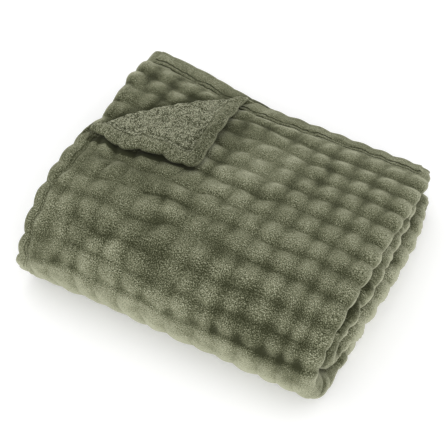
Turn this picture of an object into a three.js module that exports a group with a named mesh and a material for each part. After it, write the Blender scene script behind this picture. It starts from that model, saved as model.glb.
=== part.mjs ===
// A flannel throw blanket, folded in quarters both ways, with one corner turned over.
// Millimetres. X runs along the long side of the pack, -Y is its round front, Z is up.
// The origin is under the middle of the pack, on the surface that it lies on.
//
// The cloth is one sheet. A place on it is given by two lengths along the cloth:
// across, from the side hem that shows on top, and along, from the end hem that shows on top.
// Across, the sheet is folded into four plies: it runs right on top, back left at the bottom,
// right again just under the top, and left in the middle, where its other side hem ends.
// Along, that strip of four plies is folded into four layers: over the front it turns down
// to the floor, turns up at the back, turns inside the front fold and ends under the top layer.
import * as THREE from "three";

// Driving sizes
const PITCH = 28; // from one bubble of the pile to the next
const SHEET = 2.5; // thickness of the cloth between its bubbles
const BUBBLE = 4; // height of a bubble
const WIDTH = 380.6; // width of the folded pack
const PLIES = 4;
const LAYERS = 4;
const TURN_RIGHT = 12; // how far each side fold reaches past its run
const TURN_LEFT = 8;
const TURN_INNER = 5;
const INNER_SHORT = 2; // the inner right fold stops this much short of the outer one
const SIDE_HEM_SHORT = 8; // the hidden side hem stops this much short of the left fold
const FOLD_FRONT = 114.8; // where the front folds start, from the middle row of bubbles
const FOLD_BACK = -119; // where the back fold starts
const TOP_HEM_BACK = -137.8; // where the end hem of the top ply lies
const HIDDEN_HEM_BACK = -131.6; // where the end hem under the top layer lies
const ROUNDNESS = 0.667; // reach of a fold's curve for its height
const HEM = 16; // width of the flat hem
const LEFT_EDGE = -261.8; // the pack's left edge, from the same bubble as the rows below
const PACK_CENTRE = { right: -72.5, front: -2.99 }; // middle of the pack, from there

// The top of the pack from its back hem to its front fold: the length along the cloth,
// the distance towards the front, and the height of the bubbles' tops.
const CREST = [
  { along: -44.8, front: -176.4, high: 52.3 },
  { along: -22.4, front: -155.4, high: 61.7 },
  { along: 0, front: TOP_HEM_BACK, high: 69.3 },
  { along: 30.8, front: -106.9, high: 82.3 },
  { along: 58.8, front: -81.1, high: 92.6 },
  { along: 86.8, front: -54.2, high: 101.3 },
  { along: 114.8, front: -27.2, high: 108.4 },
  { along: 142.8, front: 0, high: 115.1 },
  { along: 170.8, front: 27.7, high: 119 },
  { along: 198.8, front: 55.5, high: 122.4 },
  { along: 226.8, front: 83.5, high: 122.4 },
  { along: 254.8, front: 111.2, high: 118.4 },
  { along: 268.8, front: 124.6, high: 114.2 },
  { along: 296.8, front: 151.2, high: 103.6 },
];

// The strip of four plies, from the hem on top to the hem under the top layer: the length of
// each stretch, and for a layer where it starts and ends towards the front, the level of its
// outer ply and which way the other plies lie from that.
const ALONG = [
  { name: "top layer", length: 258.44, from: TOP_HEM_BACK, to: FOLD_FRONT, level: 15, step: -1 },
  { name: "front fold", length: 175, start: FOLD_FRONT, way: 1 },
  { name: "bottom layer", length: 242, from: FOLD_FRONT, to: FOLD_BACK, level: 0, step: 1 },
  { name: "back fold", length: 28, start: FOLD_BACK, way: -1 },
  { name: "third layer", length: 242, from: FOLD_BACK, to: FOLD_FRONT, level: 7, step: -1 },
  { name: "inner front fold", length: 60, start: FOLD_FRONT, way: 1 },
  { name: "second layer", length: 259, from: FOLD_FRONT, to: HIDDEN_HEM_BACK, level: 8, step: 1 },
];

// How far the pack's sides stand out past its nominal edges, along the strip.
const REACH = [
  { along: 0, left: 4, right: -6 },
  { along: 130, left: 0, right: -4 },
  { along: 207, left: -1, right: -6 },
  { along: 258, left: -2, right: -10 },
  { along: 300, left: -4, right: -16 },
  { along: 345, left: -5, right: -20 },
  { along: 433, left: -4, right: -10 },
  { along: 550, left: 0, right: -2 },
  { along: 675, left: 3, right: 1 },
  { along: 703, left: 3, right: 1 },
  { along: 820, left: 2, right: 0 },
  { along: 945, left: -2, right: -9 },
  { along: 1005, left: -3, right: -12 },
  { along: 1130, left: 0, right: -3 },
  { along: 1265, left: 2, right: -3 },
];
const REACH_ZONE = { left: 0.22 * WIDTH, right: 0.24 * WIDTH }; // how far in that is felt

// How far each ply's end hem sticks out at the back, past the top ply's, at the left and right.
const HEM_SLIP = [
  { ply: 0, left: 0, right: 0 },
  { ply: 1, left: 48, right: 1 },
  { ply: 2, left: 4, right: 4 },
  { ply: 3, left: 8, right: 8 },
];
const SLIP_ZONE = { from: -0.15 * WIDTH, to: 0.6 * WIDTH };

const DROOP = { share: 0.1, width: 110, back: -140, front: 28 }; // the left side sinks this far

// The corner that is turned over: where its crease meets the end hem and the side hem,
// and where its tip comes to lie.
const CREASE = { onEndHem: 144.2, onSideHem: 162.4 };
const TIP = { across: 149.2, along: 161 };
const ROLL = 5; // radius of the crease
const TIP_SINKS = 2; // the tip lies this much lower than the crease

const COLOUR = 0x7c7f68;

// A smooth curve through a table's rows, by its column x, and its value in column y
function curve(rows, x, y) {
  const slope = rows.map((_, i) => {
    const a = rows[Math.max(i - 1, 0)];
    const b = rows[Math.min(i + 1, rows.length - 1)];
    return (b[y] - a[y]) / (b[x] - a[x]);
  });
  return (at) => {
    let i = 0;
    while (i < rows.length - 2 && at > rows[i + 1][x]) i++;
    const a = rows[i];
    const b = rows[i + 1];
    const span = b[x] - a[x];
    const w = (at - a[x]) / span;
    const rise = b[y] - a[y];
    const bend = w * (1 - w) * span;
    const ease = w * w * (3 - 2 * w);
    return a[y] + rise * ease + bend * ((1 - w) * slope[i] - w * slope[i + 1]);
  };
}

function smooth(from, to, at) {
  const w = Math.min(Math.max((at - from) / (to - from), 0), 1);
  return w * w * (3 - 2 * w);
}

function running(rows) {
  const sums = [0];
  for (const row of rows) sums.push(sums.at(-1) + row.length);
  return sums;
}

// The stretches across the cloth, with the ply where each starts. Plies count down from the
// outer side of the strip: 0 on top, 1 under it, 2 the hidden hem's and 3 the bottom one.
const RIGHT_EDGE = WIDTH - TURN_RIGHT;
const INNER_EDGE = RIGHT_EDGE - INNER_SHORT;
const HIDDEN_SIDE_HEM = TURN_LEFT + SIDE_HEM_SHORT;
const ACROSS = [
  { name: "top ply", ply: 0, from: 0, to: RIGHT_EDGE },
  { name: "right fold", ply: 0, intoPly: 3, centre: RIGHT_EDGE, reach: TURN_RIGHT },
  { name: "bottom ply", ply: 3, from: RIGHT_EDGE, to: TURN_LEFT },
  { name: "left fold", ply: 3, intoPly: 1, centre: TURN_LEFT, reach: -TURN_LEFT },
  { name: "second ply", ply: 1, from: TURN_LEFT, to: INNER_EDGE },
  { name: "inner right fold", ply: 1, intoPly: 2, centre: INNER_EDGE, reach: TURN_INNER },
  { name: "third ply", ply: 2, from: INNER_EDGE, to: HIDDEN_SIDE_HEM },
];
for (const row of ACROSS) {
  row.turns = "reach" in row;
  row.length = row.turns ? Math.PI * Math.abs(row.reach) : Math.abs(row.to - row.from);
}
const ACROSS_AT = running(ACROSS);
const ALONG_AT = running(ALONG);
const CUT = { across: ACROSS_AT.at(-1), along: ALONG_AT.at(-1) };
const TOP_LEVEL = PLIES * LAYERS - 1;

const frontOf = curve(CREST, "along", "front");
const heightOf = curve(CREST, "front", "high");
const alongOf = curve(CREST, "front", "along");
const leftReach = curve(REACH, "along", "left");
const rightReach = curve(REACH, "along", "right");

// The stretch of a table that a length falls in, and how far along it that is, from 0 to 1
function stretch(rows, sums, at) {
  let i = 0;
  while (i < rows.length - 1 && at > sums[i + 1]) i++;
  return { i, w: (at - sums[i]) / rows[i].length };
}

// The strip's section: where a place across the cloth lies, from the left edge, and in which ply
function section(across) {
  const { i, w } = stretch(ACROSS, ACROSS_AT, across);
  const row = ACROSS[i];
  if (!row.turns) return { x: row.from + w * (row.to - row.from), ply: row.ply };
  const turn = w * Math.PI;
  const middle = (row.ply + row.intoPly) / 2;
  return {
    x: row.centre + row.reach * Math.sin(turn),
    ply: middle + (row.ply - middle) * Math.cos(turn),
  };
}

// The height of a level of the stack, from 0 on the floor to 15 on top
function levelHeight(level, x, front) {
  const atLeft = 1 - smooth(0, DROOP.width, x);
  const sunk = DROOP.share * atLeft * smooth(DROOP.back, DROOP.front, front);
  const stack = (heightOf(front) - BUBBLE) * (1 - sunk) - SHEET;
  return SHEET / 2 + (stack * level) / TOP_LEVEL;
}

// How far towards the front a place along a layer lies
function layerFront(i, along) {
  if (i === 0) return frontOf(along);
  const { from, to, length } = ALONG[i];
  return from + ((to - from) * (along - ALONG_AT[i])) / length;
}

// A fold of the strip: a curve that leaves one level and comes back on another
function fold({ start, way }, x, fromLevel, toLevel, w) {
  const nudge = 1;
  const end = (level) => {
    const high = levelHeight(level, x, start);
    const ahead = levelHeight(level, x, start + nudge);
    const behind = levelHeight(level, x, start - nudge);
    const tangent = new THREE.Vector2(2 * nudge, ahead - behind).normalize();
    return { point: new THREE.Vector2(start, high), tangent };
  };
  const a = end(fromLevel);
  const b = end(toLevel);
  const handle = way * ROUNDNESS * Math.abs(a.point.y - b.point.y);
  const out = a.point.clone().addScaledVector(a.tangent, handle);
  const back = b.point.clone().addScaledVector(b.tangent, handle);
  return new THREE.CubicBezierCurve(a.point, out, back, b.point).getPoint(w);
}

function hemSlip(ply, x) {
  const left = 1 - smooth(SLIP_ZONE.from, SLIP_ZONE.to, x);
  const i = Math.min(Math.floor(ply), PLIES - 2);
  const slip = (row) => row.right + (row.left - row.right) * left;
  return slip(HEM_SLIP[i]) + (slip(HEM_SLIP[i + 1]) - slip(HEM_SLIP[i])) * (ply - i);
}

// The middle of the cloth's thickness at a place on the folded sheet, the corner not turned
function folded(across, along) {
  const { x, ply } = section(across);
  const side =
    x -
    leftReach(along) * (1 - smooth(0, REACH_ZONE.left, x)) +
    rightReach(along) * smooth(WIDTH - REACH_ZONE.right, WIDTH, x);
  const { i, w } = stretch(ALONG, ALONG_AT, along);
  const row = ALONG[i];
  let front, high;
  if (row.from === undefined) {
    const outOf = ALONG[i - 1];
    const into = ALONG[i + 1];
    const levels = [outOf.level + outOf.step * ply, into.level + into.step * ply];
    ({ x: front, y: high } = fold(row, side, ...levels, w));
  } else {
    front = layerFront(i, along) - (i === 0 ? hemSlip(ply, x) * (1 - w) ** 2 : 0);
    high = levelHeight(row.level + row.step * ply, side, front);
  }
  return new THREE.Vector3(LEFT_EDGE + side - PACK_CENTRE.right, PACK_CENTRE.front - front, high);
}

// The direction off the face side of a surface, from two short steps on it
const STEP = 0.25;
function offFace(place, across, along) {
  const right = place(across + STEP, along).sub(place(across - STEP, along));
  const down = place(across, along + STEP).sub(place(across, along - STEP));
  return down.cross(right).normalize();
}

// How far past the crease a place on the corner is, negative on the rest of the cloth
const CREASE_OFF = new THREE.Vector2(1 / CREASE.onEndHem, 1 / CREASE.onSideHem);
const CORNER_DEPTH = 1 / CREASE_OFF.length();
CREASE_OFF.normalize();
function pastCrease(across, along) {
  return CORNER_DEPTH - across * CREASE_OFF.x - along * CREASE_OFF.y;
}

// The whole sheet's middle, with its corner rolled over the crease and laid down
const ROLL_LENGTH = Math.PI * ROLL;
const TIP_RUN = new THREE.Vector2(TIP.across, TIP.along)
  .addScaledVector(CREASE_OFF, -CORNER_DEPTH)
  .divideScalar(CORNER_DEPTH - ROLL_LENGTH);
function onTopSheet(across, along) {
  return across < ACROSS_AT[1] && along < ALONG_AT[1];
}
function cloth(across, along) {
  const past = onTopSheet(across, along) ? pastCrease(across, along) : 0;
  if (past <= 0) return folded(across, along);
  const at = new THREE.Vector2(across, along).addScaledVector(CREASE_OFF, past);
  let lift;
  if (past < ROLL_LENGTH) {
    const turn = past / ROLL;
    at.addScaledVector(CREASE_OFF, -ROLL * Math.sin(turn));
    lift = ROLL * (1 - Math.cos(turn));
  } else {
    const run = past - ROLL_LENGTH;
    at.addScaledVector(TIP_RUN, run);
    lift = 2 * ROLL - TIP_SINKS * (run / (CORNER_DEPTH - ROLL_LENGTH)) ** 2;
  }
  return folded(at.x, at.y).addScaledVector(offFace(folded, at.x, at.y), lift);
}

// The height of the bubbles, in straight rows both ways, none on the hems
const BUBBLE_ROW = { across: 0.35 * PITCH, along: 0.1 * PITCH };
const HEM_FADE = { from: 0.6 * HEM, to: 1.4 * HEM };
function bubble(across, along) {
  const wave = (at) => Math.cos((2 * Math.PI * at) / PITCH);
  const rows = wave(across - BUBBLE_ROW.across) + wave(rowAlong(along) - BUBBLE_ROW.along);
  const offSideHem = smooth(HEM_FADE.from, HEM_FADE.to, across);
  const offEndHem = smooth(HEM_FADE.from, HEM_FADE.to, along);
  return BUBBLE * (0.5 + 0.25 * rows) * offSideHem * offEndHem * shown(across, along);
}

// The lower layers carry their rows of bubbles under the top layer's
function rowAlong(along) {
  const { i } = stretch(ALONG, ALONG_AT, along);
  if (i < 2 || ALONG[i].from === undefined) return along;
  return alongOf(layerFront(i, along));
}

// How much of a bubble stands up at a place: all of it on the top and the front, none where
// the pack touches the floor or another ply, and half of it on the lower layers' side folds
const FLOOR_FADE = { from: 385, to: 420 };
const CORNER_FADE = { from: 8, to: 20 };
const CREASE_FADE = { from: -6, to: 0 };
const SIDE_BUBBLE = 0.5;
function shown(across, along) {
  const { i, w } = stretch(ACROSS, ACROSS_AT, across);
  const { name } = ACROSS[i];
  const aboveFloor = 1 - smooth(FLOOR_FADE.from, FLOOR_FADE.to, along);
  if (name === "top ply") {
    const turnedOver = smooth(CREASE_FADE.from, CREASE_FADE.to, pastCrease(across, along));
    return aboveFloor * (1 - turnedOver);
  }
  if (name === "right fold") {
    const side = Math.sin(w * Math.PI) ** 2;
    if (aboveFloor > 0) return aboveFloor * (w < 0.5 ? 1 : side);
    return SIDE_BUBBLE * side * awayFromFolds(along);
  }
  if (name === "second ply" && along < ALONG_AT[1]) {
    const { x } = section(across);
    return smooth(CORNER_FADE.from, CORNER_FADE.to, pastCrease(x, along));
  }
  return 0;
}

// 1 along a lower layer and 0 at its ends and on the folds between layers
function awayFromFolds(along) {
  const { i } = stretch(ALONG, ALONG_AT, along);
  if (ALONG[i].from === undefined) return 0;
  const start = smooth(ALONG_AT[i], ALONG_AT[i] + PITCH, along);
  return start * (1 - smooth(ALONG_AT[i + 1] - PITCH, ALONG_AT[i + 1], along));
}

// The face side and the back of the sheet
function off(across, along, distance) {
  return cloth(across, along).addScaledVector(offFace(cloth, across, along), distance);
}
const SIDES = {
  face: (across, along) => off(across, along, SHEET / 2 + bubble(across, along)),
  back: (across, along) => off(across, along, -SHEET / 2),
};

// Lines on the cloth where the faces' corners may be: the stretches' ends, and between them
// the tops of the bubbles and the valleys. Every ply has its coarse lines one above another.
const HALF = PITCH / 2;
const CLEAR = HALF / 3; // no line lies closer than this to a stretch's end
const COARSE_ACROSS = [1, 3, 5, 7, 15, 23]; // half pitches from the first bubble
const COARSE_ALONG = 3; // one line in three
const FOLD_STEPS = {
  "right fold": 6,
  "left fold": 4,
  "inner right fold": 4,
  "back fold": 5,
  "inner front fold": 5,
};

function evenLines(row, from) {
  const steps = FOLD_STEPS[row.name];
  const line = (_, k) => ({ at: from + ((k + 1) * row.length) / steps, coarse: true });
  return Array.from({ length: steps - 1 }, line);
}

function insideLines(candidates, from, to) {
  const inside = candidates.filter(({ at }) => at - from > CLEAR && to - at > CLEAR);
  return inside.sort((a, b) => a.at - b.at);
}

function withEnds(rows, sums, between) {
  const out = rows.flatMap((row, i) => {
    const start = { at: sums[i], coarse: true };
    return [start, ...between(row, i, sums[i], sums[i + 1])];
  });
  return [...out, { at: sums.at(-1), coarse: true }];
}

const S_LINES = withEnds(ACROSS, ACROSS_AT, (row, i, from, to) => {
  if (row.turns) return evenLines(row, from);
  const way = Math.sign(row.to - row.from);
  const places = Array.from({ length: Math.ceil(WIDTH / HALF) }, (_, k) => ({
    at: from + way * (BUBBLE_ROW.across + k * HALF - row.from),
    coarse: COARSE_ACROSS.includes(k),
  }));
  return insideLines(places, from, to);
});

const T_LINES = withEnds(ALONG, ALONG_AT, (row, i, from, to) => {
  if (row.name in FOLD_STEPS) return evenLines(row, from);
  const places = Array.from({ length: Math.ceil(ALONG_AT[2] / HALF) }, (_, k) => {
    const along = BUBBLE_ROW.along + k * HALF;
    const under = from + ((frontOf(along) - row.from) / (row.to - row.from)) * row.length;
    return { at: i < 2 ? along : under, coarse: k % COARSE_ALONG === 2 };
  });
  return insideLines(places, from, to);
});

// Rectangles between those lines: fine where bubbles show, and coarse elsewhere
const LEAST_BUBBLE = BUBBLE / 20;
function rectangles(isFine) {
  const out = [];
  const coarse = (all) => all.flatMap((line, i) => (line.coarse ? [i] : []));
  const s = coarse(S_LINES);
  const t = coarse(T_LINES);
  for (let i = 0; i + 1 < s.length; i++)
    for (let j = 0; j + 1 < t.length; j++) {
      const box = { s0: s[i], s1: s[i + 1], t0: t[j], t1: t[j + 1] };
      const sides = [S_LINES[box.s0], S_LINES[box.s1], T_LINES[box.t0], T_LINES[box.t1]];
      if (!isFine(...sides.map((line) => line.at))) {
        out.push(box);
        continue;
      }
      for (let a = box.s0; a < box.s1; a++)
        for (let b = box.t0; b < box.t1; b++) out.push({ s0: a, s1: a + 1, t0: b, t1: b + 1 });
    }
  return out;
}

function hasBubbles(s0, s1, t0, t1) {
  const steps = 4;
  for (let i = 0; i <= steps; i++)
    for (let j = 0; j <= steps; j++) {
      const across = s0 + ((s1 - s0) * i) / steps;
      const along = t0 + ((t1 - t0) * j) / steps;
      if (bubble(across, along) > LEAST_BUBBLE) return true;
    }
  return false;
}

// A flat triangulation in the cloth's own two lengths
class Pattern {
  constructor() {
    this.points = [];
    this.index = new Map();
    this.triangles = [];
  }
  point(s, t) {
    const key = `${s.toFixed(4)} ${t.toFixed(4)}`;
    if (!this.index.has(key)) {
      this.index.set(key, this.points.length);
      this.points.push({ s, t });
    }
    return this.index.get(key);
  }
}

// Two triangles for a rectangle, or a fan where a finer neighbour puts points on its edges
function layPattern(boxes) {
  const pattern = new Pattern();
  const onS = new Map();
  const onT = new Map();
  const note = (map, key, value) => map.set(key, (map.get(key) ?? new Set()).add(value));
  for (const { s0, s1, t0, t1 } of boxes)
    for (const s of [s0, s1])
      for (const t of [t0, t1]) {
        note(onS, s, t);
        note(onT, t, s);
      }
  const between = (set, a, b) => [...set].filter((v) => v > a && v < b).sort((m, n) => m - n);
  for (const { s0, s1, t0, t1 } of boxes) {
    const ring = [
      [s0, t0],
      ...between(onT.get(t0), s0, s1).map((s) => [s, t0]),
      [s1, t0],
      ...between(onS.get(s1), t0, t1).map((t) => [s1, t]),
      [s1, t1],
      ...between(onT.get(t1), s0, s1).reverse().map((s) => [s, t1]),
      [s0, t1],
      ...between(onS.get(s0), t0, t1).reverse().map((t) => [s0, t]),
    ].map(([s, t]) => pattern.point(S_LINES[s].at, T_LINES[t].at));
    if (ring.length === 4) {
      const [a, b, c, d] = ring;
      pattern.triangles.push([a, b, c], [a, c, d]);
      continue;
    }
    const middleS = (S_LINES[s0].at + S_LINES[s1].at) / 2;
    const middleT = (T_LINES[t0].at + T_LINES[t1].at) / 2;
    const middle = pattern.point(middleS, middleT);
    ring.forEach((a, i) => pattern.triangles.push([middle, a, ring[(i + 1) % ring.length]]));
  }
  return pattern;
}

// Cuts the pattern along a line beside the crease, after moving points near the line onto it
const NEAR_LINE = 1.6;
function cutBesideCrease(pattern, depth) {
  const offLine = (p) => pastCrease(p.s, p.t) - depth;
  for (const p of pattern.points) {
    const off = offLine(p);
    if (Math.abs(off) > NEAR_LINE || (p.s === 0 && p.t === 0)) continue;
    if (p.s === 0) p.t += off / CREASE_OFF.y;
    else if (p.t === 0) p.s += off / CREASE_OFF.x;
    else {
      p.s += off * CREASE_OFF.x;
      p.t += off * CREASE_OFF.y;
    }
    p.onLine = depth;
  }
  const sign = (i) => {
    const p = pattern.points[i];
    return p.onLine === depth ? 0 : Math.sign(offLine(p));
  };
  const crossings = new Map();
  const crossing = (i, j) => {
    const key = i < j ? `${i} ${j}` : `${j} ${i}`;
    if (!crossings.has(key)) {
      const a = pattern.points[i];
      const b = pattern.points[j];
      const w = offLine(a) / (offLine(a) - offLine(b));
      crossings.set(key, pattern.points.length);
      pattern.points.push({ s: a.s + (b.s - a.s) * w, t: a.t + (b.t - a.t) * w, onLine: depth });
    }
    return crossings.get(key);
  };
  const out = [];
  for (const triangle of pattern.triangles) {
    const signs = triangle.map(sign);
    if (!(signs.includes(1) && signs.includes(-1))) {
      out.push(triangle);
      continue;
    }
    // Turn the triangle so that its lone corner, or the corner on the line, comes first
    const turn = signs.includes(0)
      ? signs.indexOf(0)
      : signs.findIndex((v) => signs.filter((other) => other === v).length === 1);
    const [a, b, c] = [0, 1, 2].map((k) => triangle[(k + turn) % 3]);
    if (signs.includes(0)) {
      const m = crossing(b, c);
      out.push([a, b, m], [a, m, c]);
    } else {
      const m = crossing(a, b);
      const n = crossing(a, c);
      out.push([a, m, n], [m, b, c], [m, c, n]);
    }
  }
  pattern.triangles = out;
}

// The cloth's four edges in turn, as lists of a pattern's points
function edges(pattern) {
  const all = pattern.points.map((p, i) => ({ ...p, i }));
  const near = 1e-6;
  const pick = (test, key, way) => {
    const edge = all.filter(test).map((p) => ({ i: p.i, at: way * p[key] }));
    return edge.sort((a, b) => a.at - b.at);
  };
  return [
    pick((p) => p.t < near, "s", 1),
    pick((p) => Math.abs(p.s - CUT.across) < near, "t", 1),
    pick((p) => Math.abs(p.t - CUT.along) < near, "s", -1),
    pick((p) => p.s < near, "t", -1),
  ];
}

// The blanket as one closed surface: its face, its back, and the rims that join them
const ROLL_CUTS = 4;
function blanketGeometry() {
  const patterns = {
    face: layPattern(rectangles(hasBubbles)),
    back: layPattern(rectangles(() => false)),
  };
  for (const pattern of Object.values(patterns))
    for (let k = 0; k <= ROLL_CUTS; k++) cutBesideCrease(pattern, (k * ROLL_LENGTH) / ROLL_CUTS);
  const positions = [];
  const index = [];
  const first = {};
  for (const side of ["face", "back"]) {
    first[side] = positions.length / 3;
    for (const { s, t } of patterns[side].points) positions.push(...SIDES[side](s, t).toArray());
    for (const [a, b, c] of patterns[side].triangles) {
      const corners = side === "face" ? [a, c, b] : [a, b, c];
      index.push(...corners.map((k) => k + first[side]));
    }
  }
  const faceEdges = edges(patterns.face);
  const backEdges = edges(patterns.back);
  faceEdges.forEach((faceEdge, k) => {
    const backEdge = backEdges[k];
    let i = 0;
    let j = 0;
    while (i + 1 < faceEdge.length || j + 1 < backEdge.length) {
      const a = faceEdge[i].i + first.face;
      const b = backEdge[j].i + first.back;
      const faceNext = i + 1 < faceEdge.length ? faceEdge[i + 1].at : Infinity;
      const backNext = j + 1 < backEdge.length ? backEdge[j + 1].at : Infinity;
      if (faceNext <= backNext) {
        index.push(a, faceEdge[i + 1].i + first.face, b);
        i++;
      } else {
        index.push(a, backEdge[j + 1].i + first.back, b);
        j++;
      }
    }
  });
  const geometry = new THREE.BufferGeometry();
  geometry.setAttribute("position", new THREE.Float32BufferAttribute(positions, 3));
  geometry.setIndex(index);
  geometry.computeVertexNormals();
  return geometry;
}

const flannel = new THREE.MeshStandardMaterial({ color: COLOUR, roughness: 0.95, metalness: 0 });
const blanket = new THREE.Mesh(blanketGeometry(), flannel);
blanket.name = "blanket";

const throwBlanket = new THREE.Group();
throwBlanket.add(blanket);
export default throwBlanket;
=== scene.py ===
"""A flannel throw blanket, folded in quarters both ways, with one corner turned over.

The cloth is one sheet. A place on it is given by two lengths along the cloth, in millimetres:
across, from the side hem that shows on top, and along, from the end hem that shows on top.
The same folds as the CAD solid's carry those two lengths into the row frame, and this file
adds what is finer: uneven bubbles, hems with their stitch lines, wavy rims, the shaggy
underside of the turned corner, and the pile.
"""
import math
from collections import defaultdict
from functools import partial

import bpy
import numpy as np
from mathutils import Euler, Matrix


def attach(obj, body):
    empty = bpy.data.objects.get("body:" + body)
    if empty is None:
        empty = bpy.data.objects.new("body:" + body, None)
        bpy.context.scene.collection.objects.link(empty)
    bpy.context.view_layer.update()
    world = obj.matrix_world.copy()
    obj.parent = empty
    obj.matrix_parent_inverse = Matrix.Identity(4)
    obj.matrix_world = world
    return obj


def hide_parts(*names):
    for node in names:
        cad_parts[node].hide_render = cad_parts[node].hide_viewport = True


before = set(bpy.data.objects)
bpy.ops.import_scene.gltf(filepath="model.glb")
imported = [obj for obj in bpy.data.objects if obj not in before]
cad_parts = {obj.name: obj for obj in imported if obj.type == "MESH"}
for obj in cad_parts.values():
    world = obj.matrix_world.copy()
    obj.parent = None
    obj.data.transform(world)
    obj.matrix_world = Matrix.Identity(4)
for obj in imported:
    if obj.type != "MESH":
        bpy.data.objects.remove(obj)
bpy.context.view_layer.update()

bl_info = {
    "name": "Folded flannel throw",
    "version": (1, 0, 0),
    "blender": (4, 5, 0),
    "location": "3D View > Sidebar > Throw",
    "description": "Builds a folded bubble flannel throw and a studio around it",
    "category": "Add Mesh",
}

MM = 0.001


def table(columns, *rows):
    """The rows as dictionaries with the named columns."""
    return [dict(zip(columns.split(), row)) for row in rows]


# The folds of the CAD solid, in millimetres, some of them a little refined
PITCH = 28.0
SHEET = 2.5
BUBBLE = 4.0
WIDTH = 380.6
PLIES = 4
LAYERS = 4
TURN_RIGHT = 12.0
TURN_LEFT = 8.0
TURN_INNER = 5.0
INNER_SHORT = 2.0
SIDE_HEM_SHORT = 8.0
FOLD_FRONT = 114.8
FOLD_BACK = -119.0
TOP_HEM_BACK = -137.8
HIDDEN_HEM_BACK = -131.6
ROUNDNESS = 0.71
LEFT_EDGE = -189.3
CENTRE_FRONT = -2.99

# The top of the pack: the length along the cloth, how far to the front, and its height
CREST = table(
    "along front high",
    (-44.8, -176.4, 52.3), (-22.4, -155.4, 61.7), (0, TOP_HEM_BACK, 69.3),
    (30.8, -106.9, 82.3), (58.8, -81.1, 92.6), (86.8, -54.2, 101.3), (114.8, -27.2, 108.4),
    (142.8, 0, 115.1), (170.8, 27.7, 119), (198.8, 55.5, 122.4), (226.8, 83.5, 122.4),
    (254.8, 111.2, 118.4), (268.8, 124.6, 114.2), (296.8, 151.2, 103.6),
)
CREST_RANGE = (-44, 290)

# The strip of four plies, from the hem on top to the hem under the top layer
TOP, FRONT_FOLD, BOTTOM, BACK_FOLD, THIRD, INNER_FOLD, SECOND = range(7)
ALONG = [
    {"length": 258.44, "from": TOP_HEM_BACK, "to": FOLD_FRONT, "level": 15, "step": -1},
    {"length": 175, "start": FOLD_FRONT, "way": 1},
    {"length": 242, "from": FOLD_FRONT, "to": FOLD_BACK, "level": 0, "step": 1},
    {"length": 28, "start": FOLD_BACK, "way": -1},
    {"length": 242, "from": FOLD_BACK, "to": FOLD_FRONT, "level": 7, "step": -1},
    {"length": 60, "start": FOLD_FRONT, "way": 1},
    {"length": 259, "from": FOLD_FRONT, "to": HIDDEN_HEM_BACK, "level": 8, "step": 1},
]

# The stretches across the cloth; plies count down from the outer side of the strip
TOP_PLY, RIGHT_FOLD, BOTTOM_PLY, LEFT_FOLD, SECOND_PLY, INNER_RIGHT, THIRD_PLY = range(7)
RIGHT_EDGE = WIDTH - TURN_RIGHT
INNER_EDGE = RIGHT_EDGE - INNER_SHORT
ACROSS = [
    {"ply": 0, "from": 0, "to": RIGHT_EDGE},
    {"ply": 0, "into": 3, "centre": RIGHT_EDGE, "reach": TURN_RIGHT},
    {"ply": 3, "from": RIGHT_EDGE, "to": TURN_LEFT},
    {"ply": 3, "into": 1, "centre": TURN_LEFT, "reach": -TURN_LEFT},
    {"ply": 1, "from": TURN_LEFT, "to": INNER_EDGE},
    {"ply": 1, "into": 2, "centre": INNER_EDGE, "reach": TURN_INNER},
    {"ply": 2, "from": INNER_EDGE, "to": TURN_LEFT + SIDE_HEM_SHORT},
]
for row in ACROSS:
    row["turns"] = "reach" in row
    row["length"] = math.pi * abs(row["reach"]) if row["turns"] else abs(row["to"] - row["from"])

# How far the pack's sides stand out past its nominal edges, along the strip
REACH = table(
    "along left right",
    (0, 19, -6), (9, 17, -2.5), (45, 10, -3), (130, -2, -8), (207, -3, -13), (258, -4, -17),
    (300, -7, -20), (345, -6, -20), (385, -4, -10), (433, -3, -8), (500, -2, -8),
    (550, 0, -4), (610, 2, 1), (675, 3, 3), (703, 3, 3), (750, 3, 8), (820, 2, 7),
    (900, -1, -1), (945, -2, -9), (1005, -3, -12), (1130, 0, -4), (1265, 2, -9),
)
REACH_ZONE = {"left": 0.22 * WIDTH, "right": 0.24 * WIDTH}

# How far each ply's end hem sticks out at the back, past the top ply's
HEM_SLIP = table("left right", (0, 0), (53, 1), (4, 4), (8, 8))
SLIP_ZONE = (-0.15 * WIDTH, 0.6 * WIDTH)
DROOP = {"share": 0.1, "width": 110, "back": -140, "front": 28}
SWELL_AT_LEFT = 0.12
LIP = 0.35
CORNER_PULL = 5

# The turned corner
CREASE = {"onEndHem": 144.2, "onSideHem": 172}
TIP = {"across": 149.2, "along": 161}
ROLL = 5.0
TIP_SINKS = 2.0
TIP_ROUND = 9.0


def mix(a, b, w):
    return a + (b - a) * w


def curve(rows, x, y):
    """A smooth curve through a table's rows, by its column x, and its value in column y."""
    xs = np.array([row[x] for row in rows], float)
    ys = np.array([row[y] for row in rows], float)
    ahead = np.minimum(np.arange(len(xs)) + 1, len(xs) - 1)
    behind = np.maximum(np.arange(len(xs)) - 1, 0)
    slope = (ys[ahead] - ys[behind]) / (xs[ahead] - xs[behind])

    def value(at):
        i = np.clip(np.searchsorted(xs, at) - 1, 0, len(xs) - 2)
        span = xs[i + 1] - xs[i]
        w = (at - xs[i]) / span
        ease = w * w * (3 - 2 * w)
        bend = w * (1 - w) * span
        return mix(ys[i], ys[i + 1], ease) + bend * ((1 - w) * slope[i] - w * slope[i + 1])

    return value


def smooth(start, end, at):
    w = np.clip((at - start) / (end - start), 0, 1)
    return w * w * (3 - 2 * w)


def fall(start, end, at):
    return 1 - smooth(start, end, at)


def hump(centre, width, at):
    """A smooth bump, 1 at its centre and 0 half a width away."""
    return np.clip(1 - (2 * (at - centre) / width) ** 2, 0, 1) ** 2


FIELD_GRID = 97
FIELD_START = 30


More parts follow.
